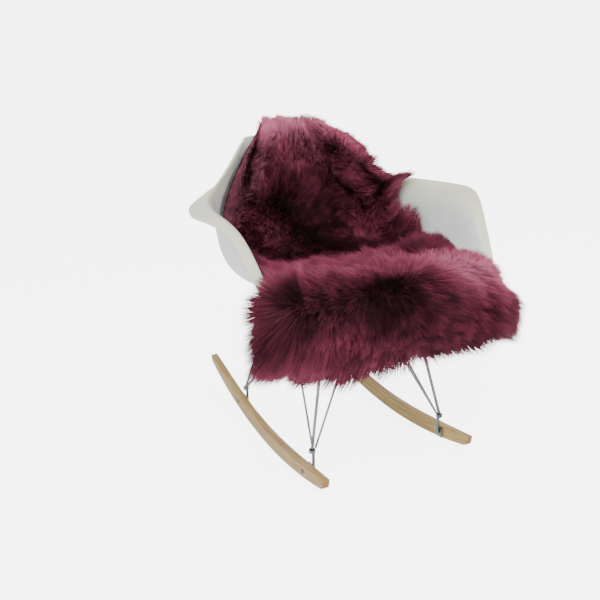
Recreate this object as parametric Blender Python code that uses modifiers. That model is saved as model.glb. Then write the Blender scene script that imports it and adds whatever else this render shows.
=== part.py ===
"""Long-haired sheepskin rug, draped over the back, seat and front edge of a plain rocking armchair.

Metres, +Z up. -Y is the chair's front, +X is the sitter's left, and Z = 0 is the floor.
The hide is one lumpy slab in its draped form. Strips of locks run round its rim. The chair is a
thin moulded shell on a wire base with two bent wooden rockers.
"""
import math
import random

import bmesh
import bpy
import numpy as np
from mathutils import Vector
from mathutils.bvhtree import BVHTree

for old in list(bpy.data.objects):
    bpy.data.objects.remove(old, do_unlink=True)

# Gap kept between pieces that touch, and the hide's clearance over the shell's edges.
SEAT_GAP = 0.0004
SEATED_GAP = 0.0009
EDGE_GAP = 0.0025
HEAD_GAP = 0.005
HEAD_SHARE = 0.82

# Rockers: planks cut to an arc, with a short flat where they meet the floor.
ROCKER_LENGTH = 0.68
ROCKER_FRONT_Y = -0.317
ROCKER_RADIUS = 1.107
ROCKER_CONTACT_Y = 0.037
ROCKER_FLAT = 0.060
ROCKER_THICK = 0.018
ROCKER_MID_X = 0.170
ROCKER_HEIGHT_MID = 0.034
ROCKER_HEIGHT_FRONT = 0.020
ROCKER_HEIGHT_REAR = 0.017
ROCKER_STEPS = 22
ROCKER_ROUNDING = 0.0025
# The lower edge starts this far in from both ends, and no step falls this close to the flat.
ROCKER_NOSE = 0.004
FLAT_MARGIN = 0.01

# Wire base.
MAIN_ROD = 0.0068
BRACE_ROD = 0.0046
FOOT_Y = {"front": -0.229, "rear": 0.150}
KNUCKLE_RISE = {"front": 0.053, "rear": 0.046}
KNUCKLE_X = 0.156
KNUCKLE_SIZE = (0.014, 0.007)
FOOT_PAD = (0.0035, 0.020, 0.024)
SCREW_HEAD = (0.0085, 0.0024)
PLATE_X = {"front": 0.090, "rear": 0.095}
PLATE_Y = {"front": -0.168, "rear": 0.038}
PLATE_SIZE = (0.046, 0.0025)
RUBBER_SIZE = (0.036, 0.011)
SPREADER_DROP = 0.018
SPREADER_HALF = 0.040
PLATE_INSET = 0.016
STAY_TOP_X = 0.007

# Shell: half of a coarse cage, one row for each cross-section from the front lip to the top of
# the back. mid is the centre line, wall is the side, crest is the top of the arm, edge is its rim.
SHELL_THICK = 0.005
SHELL_LEVEL = 2
# How far the crest of the arm has gone from the centre line to the edge in y.
CREST_SHARE = 0.93
SHELL_ROWS = (
    # name, mid_y, mid_z, edge_y, wall_x, crest_x, crest_z, edge_x, edge_z
    ("lip nose", -0.303, 0.392, -0.246, 0.236, 0.246, 0.424, 0.256, 0.428),
    ("lip top", -0.283, 0.414, -0.204, 0.242, 0.252, 0.478, 0.268, 0.484),
    ("seat front", -0.220, 0.409, -0.150, 0.240, 0.258, 0.545, 0.288, 0.549),
    ("arm front", -0.105, 0.384, -0.068, 0.240, 0.262, 0.562, 0.330, 0.550),
    ("arm rear", 0.045, 0.362, 0.035, 0.234, 0.252, 0.560, 0.300, 0.550),
    ("seat back", 0.180, 0.382, 0.110, 0.214, 0.230, 0.558, 0.244, 0.554),
    ("waist", 0.243, 0.470, 0.156, 0.182, 0.196, 0.566, 0.204, 0.566),
    ("shoulder", 0.262, 0.570, 0.182, 0.142, 0.150, 0.606, 0.157, 0.610),
    ("top", 0.272, 0.661, 0.212, 0.100, 0.108, 0.654, 0.114, 0.658),
)
# How far each cage column has gone from the centre line to the wall in x, to the edge in y and
# to the crest in z.
SHELL_COLUMNS = (
    # name, x_share, y_share, z_share
    ("centre", 0.00, 0.00, 0.00),
    ("seat", 0.52, 0.06, 0.00),
    ("hip", 0.95, 0.28, 0.09),
    ("wall", 1.02, 0.64, 0.56),
)

# Hide. Its centre line runs from the front hem over the lip, along the seat, up the back and over
# the top edge. Each point is the underside of the skin.
HIDE_PATH = (
    # y, z
    (-0.318, 0.312),
    (-0.323, 0.352),
    (-0.321, 0.390),
    (-0.305, 0.413),
    (-0.272, 0.421),
    (-0.190, 0.410),
    (-0.100, 0.391),
    (0.010, 0.374),
    (0.100, 0.377),
    (0.176, 0.406),
    (0.224, 0.466),
    (0.248, 0.545),
    (0.259, 0.612),
    (0.259, 0.652),
    (0.270, 0.681),
    (0.290, 0.684),
    (0.305, 0.668),
)
# Widths and side bends along the hide, by share of its length from the hem. A positive bend turns
# the side up the bucket's wall and a negative one lets it droop.
HIDE_SECTIONS = (
    # share, half_right, half_left, flat, radius, bend_right, bend_left, pile
    (0.00, 0.272, 0.262, 0.140, 0.120, -38.0, -40.0, 0.036),
    (0.09, 0.258, 0.250, 0.175, 0.090, -34.0, -36.0, 0.046),
    (0.15, 0.250, 0.240, 0.200, 0.080, -8.0, -12.0, 0.050),
    (0.20, 0.240, 0.238, 0.185, 0.075, 14.0, 14.0, 0.052),
    (0.25, 0.242, 0.244, 0.172, 0.070, 30.0, 30.0, 0.052),
    (0.33, 0.254, 0.256, 0.163, 0.070, 56.0, 56.0, 0.052),
    (0.45, 0.256, 0.272, 0.152, 0.075, 68.0, 70.0, 0.050),
    (0.56, 0.240, 0.290, 0.138, 0.080, 68.0, 70.0, 0.048),
    (0.66, 0.216, 0.346, 0.100, 0.120, 60.0, 64.0, 0.048),
    (0.75, 0.202, 0.340, 0.070, 0.170, 60.0, 66.0, 0.048),
    (0.86, 0.168, 0.256, 0.050, 0.150, 60.0, 66.0, 0.044),
    (0.94, 0.124, 0.176, 0.045, 0.130, 54.0, 60.0, 0.030),
    (1.00, 0.084, 0.120, 0.050, 0.160, 30.0, 34.0, 0.020),
)
# The share of the length over which the sides turn the corner from seat to back, and the rise
# off the centre line at which they follow it fully.
CORNER_EASING = 0.13
SIDE_RISE = 0.06
HIDE_ALONG = 36
HIDE_ACROSS = 24
HEM_ROUNDING = 0.16
HEAD_ROUNDING = 0.72
RIM_PILE = 0.020
RIM_SHOULDER = 0.042
LAY_UP = 0.034
LAY_DOWN = 0.018
LAY_EASING = 3
# Folds and swells of the pile: place by share of length and by metres across, reach and height.
HIDE_LUMPS = (
    # share, across, reach_along, reach_across, height
    (0.44, 0.225, 0.060, 0.050, 0.026),
    (0.50, 0.150, 0.045, 0.050, 0.014),
    (0.12, 0.220, 0.080, 0.090, 0.006),
    (0.12, -0.225, 0.070, 0.080, 0.012),
    (0.10, 0.020, 0.060, 0.120, 0.007),
    (0.80, -0.060, 0.090, 0.080, 0.008),
    (0.78, 0.130, 0.080, 0.060, 0.008),
)
RIPPLE_HEIGHT = 0.0035

# Locks: each strip covers a run of the rim, by its first and last grid edge.
LOCK_RUNS = (
    # name, first, last, lift in degrees off the skin, droop, gap between strip and hide
    ("locks_hem", 0, 24, 4.0, 0.55, 0.0012),
    ("locks_left_front", 24, 29, 10.0, 0.55, 0.0009),
    ("locks_left_seat", 33, 43, 34.0, 0.0, 0.0009),
    ("locks_left_back", 47, 62, 34.0, 0.0, 0.0012),
    ("locks_head", 69, 84, 0.0, 1.60, 0.0012),
    ("locks_right_back", 84, 98, 34.0, 0.0, 0.0009),
    ("locks_right_seat", 100, 111, 34.0, 0.0, 0.0012),
    ("locks_right_front", 115, 120, 10.0, 0.55, 0.0012),
)
LOCKS_PER_EDGE = 2
LOCK_LENGTH = 0.042
LOCK_UNEVEN = 0.35
LOCK_CLEARANCE = 0.003
LOCK_OUTWARD = 0.9
STRIP_DEPTH = 0.004
STRIP_HEIGHT = 0.012
STRIP_END_GAP = 0.0012
# A strip's corner may come this share of its gap from the hide before it is moved, in such steps.
STRIP_SHARE = 0.8
STRIP_STEP = 0.0005
STRIP_TRIES = 30
RIM_EASING = 6

COLLECTION = bpy.data.collections.new("sheepskin_on_rocking_chair")
bpy.context.scene.collection.children.link(COLLECTION)


def material(name, colour, roughness, metallic=0.0):
    """A plain Principled material."""
    made = bpy.data.materials.new(name)
    made.use_nodes = True
    shader = made.node_tree.nodes["Principled BSDF"]
    shader.inputs["Base Color"].default_value = (*colour, 1.0)
    shader.inputs["Roughness"].default_value = roughness
    shader.inputs["Metallic"].default_value = metallic
    return made


PLUM_FUR = material("plum_fur", (0.090, 0.016, 0.026), 0.85)
PLUM_LOCKS = material("plum_locks", (0.200, 0.045, 0.070), 0.85)
SHELL_PLASTIC = material("shell_plastic", (0.620, 0.635, 0.600), 0.35)
MAPLE = material("maple", (0.480, 0.340, 0.190), 0.50)
STEEL = material("steel_wire", (0.300, 0.310, 0.315), 0.35, 0.9)
RUBBER = material("rubber", (0.030, 0.030, 0.032), 0.80)


def add_object(name, data, finish):
    """Link a mesh or curve under the part's collection with its own material."""
    made = bpy.data.objects.new(name, data)
    COLLECTION.objects.link(made)
    data.materials.append(finish)
    return made


def mesh_from(bm, name, finish, smooth=True, wound=False):
    """Finish a bmesh as a named object, turning its faces outwards unless they are wound so."""
    if not wound:
        bmesh.ops.recalc_face_normals(bm, faces=bm.faces)
    mesh = bpy.data.meshes.new(name)
    bm.to_mesh(mesh)
    bm.free()
    if smooth:
        mesh.shade_smooth()
        mesh.set_sharp_from_angle(angle=math.radians(40.0))
    return add_object(name, mesh, finish)


def evaluated_copy(source):
    """The object's mesh with its modifiers applied."""
    graph = bpy.context.evaluated_depsgraph_get()
    graph.update()
    return bpy.data.meshes.new_from_object(source.evaluated_get(graph), depsgraph=graph)


def surface_tree(mesh):
    """A search tree over a mesh, in the mesh's own frame."""
    bm = bmesh.new()
    bm.from_mesh(mesh)
    tree = BVHTree.FromBMesh(bm)
    bm.free()
    return tree


def smooth_table(table, column, share):
    """Read one column of a table at a share of its first column, on a smooth curve."""
    keys = [row[0] for row in table]
    values = [row[column] for row in table]
    share = min(max(share, keys[0]), keys[-1])
    i = max(k for k in range(len(keys) - 1) if keys[k] <= share)
    span = keys[i + 1] - keys[i]
    t = (share - keys[i]) / span
    slopes = []
    for k in (i, i + 1):
        low, high = max(k - 1, 0), min(k + 1, len(keys) - 1)
        slopes.append((values[high] - values[low]) / (keys[high] - keys[low]) * span)
    return (
        (2 * t**3 - 3 * t**2 + 1) * values[i]
        + (t**3 - 2 * t**2 + t) * slopes[0]
        + (3 * t**2 - 2 * t**3) * values[i + 1]
        + (t**3 - t**2) * slopes[1]
    )


def cylinder(name, diameter, height, base, finish, axis=(0.0, 0.0, 1.0), sides=16):
    """A closed cylinder that starts at base and runs along axis."""
    bm = bmesh.new()
    bmesh.ops.create_cone(
        bm, cap_ends=True, segments=sides, radius1=diameter / 2, radius2=diameter / 2, depth=height
    )
    bmesh.ops.translate(bm, verts=bm.verts, vec=(0.0, 0.0, height / 2))
    turn = Vector((0.0, 0.0, 1.0)).rotation_difference(Vector(axis))
    bmesh.ops.rotate(bm, verts=bm.verts, matrix=turn.to_matrix())
    bmesh.ops.translate(bm, verts=bm.verts, vec=base)
    return mesh_from(bm, name, finish)


def block(name, size, centre, finish, rounding=0.0008):
    """A small block with broken edges."""
    bm = bmesh.new()
    bmesh.ops.create_cube(bm, size=1.0)
    bmesh.ops.scale(bm, verts=bm.verts, vec=size)
    bmesh.ops.translate(bm, verts=bm.verts, vec=centre)
    made = mesh_from(bm, name, finish, smooth=False)
    bevel = made.modifiers.new("broken edges", "BEVEL")
    bevel.width = rounding
    bevel.segments = 1
    return made


def rod(name, start, end, diameter):
    """A straight wire between two points, trimmed so its ends clear level faces there."""
    start, end = Vector(start), Vector(end)
    along = (end - start).normalized()
    lean = math.sqrt(max(1.0 - along.z**2, 0.0))
    trim = (SEAT_GAP + lean * diameter / 2) / max(abs(along.z), 0.2)
    return wire(name, (start + along * trim, end - along * trim), diameter)


def wire(name, points, diameter):
    """A wire through points, with closed ends."""
    curve = bpy.data.curves.new(name, "CURVE")
    curve.dimensions = "3D"
    curve.bevel_depth = diameter / 2
    curve.bevel_resolution = 2
    curve.use_fill_caps = True
    spline = curve.splines.new("POLY")
    spline.points.add(len(points) - 1)
    for spot, point in zip(spline.points, points, strict=True):
        spot.co = (*point, 1.0)
    return add_object(name, curve, STEEL)


# Shell


def shell_row(row):
    """The half row of cage points for one cross-section."""
    _, mid_y, mid_z, edge_y, wall_x, crest_x, crest_z, edge_x, edge_z = row
    points = []
    for _, x_share, y_share, z_share in SHELL_COLUMNS:
        points.append(
            (
                wall_x * x_share,
                mid_y + (edge_y - mid_y) * y_share,
                mid_z + (crest_z - mid_z) * z_share,
            )
        )
    points.append((crest_x, mid_y + (edge_y - mid_y) * CREST_SHARE, crest_z))
    points.append((edge_x, edge_y, edge_z))
    return points


def build_shell():
    """The moulded seat: a mirrored cage, subdivided, then given its wall."""
    rows = [shell_row(row) for row in SHELL_ROWS]
    across, along = len(rows[0]) - 1, len(rows) - 1
    bm = bmesh.new()
    bmesh.ops.create_grid(bm, x_segments=across, y_segments=along, size=1.0)
    for vert in bm.verts:
        column = round((vert.co.x + 1.0) / 2.0 * across)
        row = round((vert.co.y + 1.0) / 2.0 * along)
        vert.co = rows[row][column]
    made = mesh_from(bm, "seat_shell", SHELL_PLASTIC)
    mirror = made.modifiers.new("other half", "MIRROR")
    mirror.use_clip = True
    mirror.merge_threshold = 0.0001
    round_off = made.modifiers.new("round form", "SUBSURF")
    round_off.levels = SHELL_LEVEL
    round_off.render_levels = SHELL_LEVEL
    wall = made.modifiers.new("wall", "SOLIDIFY")
    wall.thickness = SHELL_THICK
    wall.offset = -1.0
    return made


# Rockers


def rocker_low(y):
    """Height of the rocker's lower edge above the floor."""
    half_flat = ROCKER_FLAT / 2
    away = abs(y - ROCKER_CONTACT_Y)
    flat_drop = ROCKER_RADIUS - math.sqrt(ROCKER_RADIUS**2 - half_flat**2)
    if away <= half_flat:
        return 0.0
    return ROCKER_RADIUS - math.sqrt(ROCKER_RADIUS**2 - away**2) - flat_drop


def rocker_height(y):
    """Depth of the plank at y: fullest in the middle, slimmer at both ends."""
    share = (y - ROCKER_FRONT_Y) / ROCKER_LENGTH
    end = ROCKER_HEIGHT_FRONT if share < 0.5 else ROCKER_HEIGHT_REAR
    fullness = 1.0 - abs(2.0 * share - 1.0) ** 4
    return end + (ROCKER_HEIGHT_MID - end) * fullness


def build_rocker(name, side):
    """One rocker as a flat outline with thickness and eased edges."""
    ys = np.linspace(ROCKER_FRONT_Y, ROCKER_FRONT_Y + ROCKER_LENGTH, ROCKER_STEPS + 1)
    flat_ends = (ROCKER_CONTACT_Y - ROCKER_FLAT / 2, ROCKER_CONTACT_Y + ROCKER_FLAT / 2)
    from_y, to_y = flat_ends[0] - FLAT_MARGIN, flat_ends[1] + FLAT_MARGIN
    low_ys = sorted([y for y in ys if not from_y < y < to_y] + list(flat_ends))
    low = [(y, rocker_low(y)) for y in low_ys]
    high = [(y, rocker_low(y) + rocker_height(y)) for y in reversed(ys)]
    low[0] = (low[0][0] + ROCKER_NOSE, low[0][1])
    low[-1] = (low[-1][0] - ROCKER_NOSE, low[-1][1])
    curve = bpy.data.curves.new(name, "CURVE")
    curve.dimensions = "2D"
    curve.fill_mode = "BOTH"
    curve.extrude = ROCKER_THICK / 2
    spline = curve.splines.new("POLY")
    outline = low + high
    spline.points.add(len(outline) - 1)
    for spot, (y, z) in zip(spline.points, outline, strict=True):
        spot.co = (y, z, 0.0, 1.0)
    spline.use_cyclic_u = True
    guide = bpy.data.objects.new(name + "_outline", curve)
    COLLECTION.objects.link(guide)
    mesh = evaluated_copy(guide)
    bpy.data.objects.remove(guide, do_unlink=True)
    bm = bmesh.new()
    bm.from_mesh(mesh)
    bmesh.ops.remove_doubles(bm, verts=bm.verts, dist=0.00005)
    for vert in bm.verts:
        y, z, x = vert.co
        vert.co = (side * ROCKER_MID_X + x, y, z)
    bmesh.ops.recalc_face_normals(bm, faces=bm.faces)
    bmesh.ops.dissolve_limit(
        bm, angle_limit=math.radians(0.5), verts=bm.verts, edges=bm.edges
    )
    edges = [e for e in bm.edges if len(e.link_faces) == 2 and e.calc_face_angle() > 1.2]
    bmesh.ops.bevel(
        bm, geom=edges, offset=ROCKER_ROUNDING, segments=1, affect="EDGES", profile=0.5
    )
    return mesh_from(bm, name, MAPLE)


# Wire base


def under_shell(tree, x, y, radius):
    """The lowest height of the shell's underside within a round footprint."""
    heights = []
    for turn in range(13):
        angle = turn * math.pi / 6
        reach = radius if turn < 12 else 0.0
        spot = Vector((x + reach * math.cos(angle), y + reach * math.sin(angle), 0.1))
        hit = tree.ray_cast(spot, Vector((0.0, 0.0, 1.0)))[0]
        heights.append(hit.z)
    return min(heights)


def build_base(shell_tree):
    """Mounts under the shell, wires down to the knuckles, and feet on the rockers."""
    inner_face = ROCKER_MID_X - ROCKER_THICK / 2
    outer_face = ROCKER_MID_X + ROCKER_THICK / 2
    pad_thick, _, pad_height = FOOT_PAD
    foot_x = inner_face - SEAT_GAP - pad_thick / 2
    plate_under = {}
    for end in ("front", "rear"):
        low = min(
            under_shell(shell_tree, side * PLATE_X[end], PLATE_Y[end], RUBBER_SIZE[0] / 2)
            for side in (-1, 1)
        )
        rubber_low = low - SEAT_GAP - RUBBER_SIZE[1]
        plate_low = rubber_low - SEAT_GAP - PLATE_SIZE[1]
        plate_under[end] = plate_low
        for side, hand in ((-1, "right"), (1, "left")):
            spot = (side * PLATE_X[end], PLATE_Y[end])
            cylinder(f"rubber_{end}_{hand}", *RUBBER_SIZE, (*spot, rubber_low), RUBBER)
            cylinder(f"plate_{end}_{hand}", *PLATE_SIZE, (*spot, plate_low), STEEL)
    for end in ("front", "rear"):
        other = "rear" if end == "front" else "front"
        inward = 1.0 if end == "front" else -1.0
        foot_low = rocker_low(FOOT_Y[end])
        pad_mid = foot_low + rocker_height(FOOT_Y[end]) * 0.5
        knuckle_low = foot_low + KNUCKLE_RISE[end]
        knuckle_top = knuckle_low + KNUCKLE_SIZE[1]
        spreader_z = plate_under[end] - SPREADER_DROP
        reach = PLATE_X[end] - PLATE_INSET
        for side, hand in ((-1, "right"), (1, "left")):
            y = FOOT_Y[end]
            block(f"foot_{end}_{hand}", FOOT_PAD, (side * foot_x, y, pad_mid), STEEL)
            cylinder(
                f"screw_{end}_{hand}",
                *SCREW_HEAD,
                (side * (outer_face + SEAT_GAP), y, pad_mid),
                STEEL,
                axis=(side, 0.0, 0.0),
                sides=12,
            )
            knuckle = (side * KNUCKLE_X, y)
            cylinder(f"knuckle_{end}_{hand}", *KNUCKLE_SIZE, (*knuckle, knuckle_low), STEEL)
            lower_x = side * (inner_face - 2 * SEAT_GAP - pad_thick - MAIN_ROD / 2)
            wire(
                f"ankle_{end}_{hand}",
                ((lower_x, y, pad_mid - pad_height * 0.1), (lower_x, y, knuckle_low - SEAT_GAP)),
                MAIN_ROD,
            )
            plate = Vector((side * PLATE_X[end], PLATE_Y[end], plate_under[end]))
            far_plate = Vector((side * PLATE_X[other], PLATE_Y[other], plate_under[other]))
            brace_out = 0.0 if end == "front" else 0.015
            leg_top = plate + Vector((side * 0.004, -inward * 0.010, 0.0))
            rod(f"leg_{end}_{hand}", (*knuckle, knuckle_top), leg_top, MAIN_ROD)
            rod(
                f"brace_{end}_{hand}",
                (knuckle[0] - side * inward * 0.0035, y + inward * 0.0058, knuckle_top),
                far_plate + Vector((side * brace_out, -inward * 0.012, 0.0)),
                BRACE_ROD,
            )
            rod(
                f"stay_{end}_{hand}",
                (knuckle[0] - side * 0.0062, y - inward * 0.001, knuckle_top),
                (side * STAY_TOP_X, PLATE_Y[end], spreader_z - BRACE_ROD / 2),
                BRACE_ROD,
            )
        wire(
            f"spreader_{end}",
            (
                (-reach, PLATE_Y[end], plate_under[end] - SEAT_GAP - BRACE_ROD / 2),
                (-SPREADER_HALF, PLATE_Y[end], spreader_z),
                (SPREADER_HALF, PLATE_Y[end], spreader_z),
                (reach, PLATE_Y[end], plate_under[end] - SEAT_GAP - BRACE_ROD / 2),
            ),
            BRACE_ROD,
        )


# Hide


def path_samples(count=400):
    """The hide's centre line as evenly spread points with directions, in the YZ plane."""
    keyed = [(i, y, z) for i, (y, z) in enumerate(HIDE_PATH)]
    last = len(HIDE_PATH) - 1
    dense = np.array(
        [
            [smooth_table(keyed, column, last * k / count) for column in (1, 2)]
            for k in range(count + 1)
        ]
    )
    steps = np.linalg.norm(np.diff(dense, axis=0), axis=1)
    lengths = np.concatenate([[0.0], np.cumsum(steps)])
    even = np.linspace(0.0, lengths[-1], count + 1)
    points = np.stack([np.interp(even, lengths, dense[:, k]) for k in (0, 1)], axis=1)
    slopes = np.gradient(points, axis=0)
    slopes /= np.linalg.norm(slopes, axis=1)[:, None]
    reach = round(count * CORNER_EASING)
    kernel = np.ones(2 * reach + 1) / (2 * reach + 1)
    eased = [np.convolve(np.pad(slopes[:, k], reach, mode="edge"), kernel, "valid") for k in (0, 1)]
    eased = np.stack(eased, axis=1)
    eased /= np.linalg.norm(eased, axis=1)[:, None]
    return points, slopes, eased, float(lengths[-1])


PATH_POINTS, PATH_SLOPES, EASED_SLOPES, HIDE_LENGTH = path_samples()


def hide_frame(share):
    """Centre point of the hide's centre line, its upward normal, and the normal its sides follow."""
    place = min(max(share, 0.0), 1.0) * (len(PATH_POINTS) - 1)
    low = min(int(place), len(PATH_POINTS) - 2)
    t = place - low
    y, z = PATH_POINTS[low] * (1 - t) + PATH_POINTS[low + 1] * t
    run_y, run_z = PATH_SLOPES[low] * (1 - t) + PATH_SLOPES[low + 1] * t
    side_y, side_z = EASED_SLOPES[low] * (1 - t) + EASED_SLOPES[low + 1] * t
    return Vector((0.0, y, z)), Vector((0.0, -run_z, run_y)), Vector((0.0, -side_z, side_y))


def hide_flat(row, column):
    """Share of length and metres across of a grid point, with the skin's corners rounded."""
    along = 2.0 * row / HIDE_ALONG - 1.0
    across = 2.0 * column / HIDE_ACROSS - 1.0
    rounding = HEM_ROUNDING if along < 0 else HEAD_ROUNDING
    share = (1.0 + along * math.sqrt(1.0 - rounding * across**2 / 2.0)) / 2.0
    spread = across * math.sqrt(1.0 - rounding * along**2 / 2.0)
    half = smooth_table(HIDE_SECTIONS, 1 if across < 0 else 2, share)
    edge_wave = 1.0 + 0.018 * math.sin(9.0 * share * math.pi + 1.3 * across) * across**2
    return share, spread * half * edge_wave


def hide_drape(share, across):
    """The skin's underside at a flat place, before it is laid on the shell."""
    centre, normal, side_normal = hide_frame(share)
    side = -1.0 if across < 0 else 1.0
    flat = smooth_table(HIDE_SECTIONS, 3, share)
    radius = smooth_table(HIDE_SECTIONS, 4, share)
    bend = math.radians(smooth_table(HIDE_SECTIONS, 5 if across < 0 else 6, share))
    away = abs(across)
    turned = min(max(away - flat, 0.0) / radius, abs(bend))
    rest = max(away - flat - radius * abs(bend), 0.0)
    out = min(away, flat) + radius * math.sin(turned) + rest * math.cos(turned)
    up = radius * (1.0 - math.cos(turned)) + rest * math.sin(turned)
    sign = 1.0 if bend >= 0 else -1.0
    normal = normal.lerp(side_normal, min(up / SIDE_RISE, 1.0)).normalized()
    point = centre + Vector((side * out, 0.0, 0.0)) + normal * (up * sign)
    tilt = normal * math.cos(turned) - Vector((side * math.sin(turned) * sign, 0.0, 0.0))
    return point, tilt.normalized()


def grid_smooth(values, rounds):
    """Average each grid value with its neighbours."""
    for _ in range(rounds):
        padded = np.pad(values, 1, mode="edge")
        near = padded[:-2, 1:-1] + padded[2:, 1:-1] + padded[1:-1, :-2] + padded[1:-1, 2:]
        values = 0.5 * values + 0.125 * near
    return values


def clearance(share, across):
    """How far the skin stays off the shell: close on the seat, more near the edges."""
    seat = math.exp(-(((share - 0.42) / 0.10) ** 2) - (across / 0.10) ** 2)
    head = max(share - HEAD_SHARE, 0.0) / (1.0 - HEAD_SHARE)
    return EDGE_GAP + (SEATED_GAP - EDGE_GAP) * seat + HEAD_GAP * min(2.0 * head, 1.0)


def lay_on_shell(points, normals, flats, tree):
    """Move each point along its normal until it lies on the shell, where there is shell below."""
    rows, columns = len(points), len(points[0])
    lift = np.zeros((rows, columns))
    found = np.zeros((rows, columns))
    for i in range(rows):
        for j in range(columns):
            start = points[i][j] + normals[i][j] * LAY_UP
            hit = tree.ray_cast(start, -normals[i][j], LAY_UP + LAY_DOWN)[0]
            if hit is not None:
                over = (points[i][j] - hit).dot(normals[i][j])
                lift[i, j] = clearance(*flats[i][j]) - over
                found[i, j] = 1.0
    weight = grid_smooth(found, LAY_EASING)
    eased = grid_smooth(lift * found, LAY_EASING) / np.maximum(weight, 0.02)
    move = np.where(found > 0.5, np.maximum(lift, eased), eased)
    return [
        [points[i][j] + normals[i][j] * float(move[i, j]) for j in range(columns)]
        for i in range(rows)
    ]


def grid_normals(points):
    """Smooth normals of a grid of points."""
    array = np.array([[tuple(p) for p in row] for row in points])
    along = np.gradient(array, axis=0)
    across = np.gradient(array, axis=1)
    normals = np.cross(across, along)
    normals /= np.linalg.norm(normals, axis=2)[:, :, None]
    for k in range(3):
        normals[:, :, k] = grid_smooth(normals[:, :, k], 2)
    normals /= np.linalg.norm(normals, axis=2)[:, :, None]
    return array, normals


def pile_depth(share, across, edge_distance):
    """Depth of the pile: full inside, thin at the rim, with swells and ripples."""
    full = smooth_table(HIDE_SECTIONS, 7, share)
    for spot, side, reach_along, reach_across, height in HIDE_LUMPS:
        near = ((share - spot) * HIDE_LENGTH / reach_along) ** 2 + ((across - side) / reach_across) ** 2
        full += height * math.exp(-near)
    ripple = math.sin(38.0 * across + 9.0 * share) * math.sin(31.0 * share + 17.0 * across)
    full += RIPPLE_HEIGHT * ripple
    rise = min(edge_distance / RIM_SHOULDER, 1.0)
    return RIM_PILE + (full - RIM_PILE) * math.sqrt(1.0 - (1.0 - rise) ** 2)


def build_hide(tree):
    """The skin and its pile as one closed slab: two grids joined round the rim."""
    flats = [[hide_flat(i, j) for j in range(HIDE_ACROSS + 1)] for i in range(HIDE_ALONG + 1)]
    draped = [[hide_drape(*flat) for flat in row] for row in flats]
    points = [[spot[0] for spot in row] for row in draped]
    normals = [[spot[1] for spot in row] for row in draped]
    points = lay_on_shell(points, normals, flats, tree)
    under, ups = grid_normals(points)
    rim_indices = rim_loop()
    ease_rim(ups, rim_indices)
    rim_points = np.array([under[i, j] for i, j in rim_indices])
    top = np.zeros_like(under)
    for i in range(HIDE_ALONG + 1):
        for j in range(HIDE_ACROSS + 1):
            edge_distance = float(np.min(np.linalg.norm(rim_points - under[i, j], axis=1)))
            share, across = flats[i][j]
            top[i, j] = under[i, j] + ups[i, j] * pile_depth(share, across, edge_distance)
    bm = bmesh.new()
    loops = []
    for sheet in (under, top):
        grid = bmesh.ops.create_grid(bm, x_segments=HIDE_ACROSS, y_segments=HIDE_ALONG, size=1.0)
        for vert in grid["verts"]:
            j = round((vert.co.x + 1.0) / 2.0 * HIDE_ACROSS)
            i = round((vert.co.y + 1.0) / 2.0 * HIDE_ALONG)
            vert.co = sheet[i, j]
        loops += [edge for vert in grid["verts"] for edge in vert.link_edges if edge.is_boundary]
    bmesh.ops.bridge_loops(bm, edges=list(set(loops)))
    made = mesh_from(bm, "sheepskin", PLUM_FUR)
    return made, under, top, ups, rim_indices


def rim_loop():
    """Grid indices round the rim, starting at the hem's right corner, anticlockwise from above."""
    hem = [(0, j) for j in range(HIDE_ACROSS)]
    left = [(i, HIDE_ACROSS) for i in range(HIDE_ALONG)]
    head = [(HIDE_ALONG, j) for j in range(HIDE_ACROSS, 0, -1)]
    right = [(i, 0) for i in range(HIDE_ALONG, 0, -1)]
    return hem + left + head + right


def ease_rim(ups, rim):
    """Even out the skin's normals round the rim, so that its wall doesn't twist."""
    around = np.array([ups[i, j] for i, j in rim])
    for _ in range(RIM_EASING):
        around = 0.5 * around + 0.25 * (np.roll(around, 1, axis=0) + np.roll(around, -1, axis=0))
    around /= np.linalg.norm(around, axis=1)[:, None]
    for (i, j), up in zip(rim, around, strict=True):
        ups[i, j] = up


def rim_frames(under, top, ups, rim):
    """Centre, outward direction and skin normal at each rim place."""
    centres = [Vector((under[i, j] + top[i, j]) / 2) for i, j in rim]
    count = len(rim)
    frames = []
    for k in range(count):
        run = (centres[(k + 1) % count] - centres[k - 1]).normalized()
        up = Vector(ups[rim[k]]).normalized()
        outward = run.cross(up).normalized()
        frames.append((centres[k], outward, up))
    return frames


def lock_tip(root, outward, up, lift, droop, length, tree):
    """The tip of a lock: it leans off the skin as far as it must to clear the shell."""
    for more in range(0, 70, 5):
        angle = math.radians(lift + more)
        way = outward * math.cos(angle) + up * math.sin(angle)
        way.z -= droop
        way += outward * max(LOCK_OUTWARD - way.dot(outward), 0.0)
        way.normalize()
        tip = root + way * length
        near = tree.find_nearest(tip, length)[3]
        blocked = tree.ray_cast(root, way, length + LOCK_CLEARANCE)[0]
        if blocked is None and (near is None or near > LOCK_CLEARANCE):
            return tip
    return root + up * length * 0.6


def strip_corners(centre, outward, up, gap):
    """The four corners of a strip's cross-section: two by the hide, two outside."""
    low, high = up * (-STRIP_HEIGHT / 2), up * (STRIP_HEIGHT / 2)
    near, far = outward * gap, outward * (gap + STRIP_DEPTH)
    return (centre + near + low, centre + far + low, centre + far + high, centre + near + high)


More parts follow.
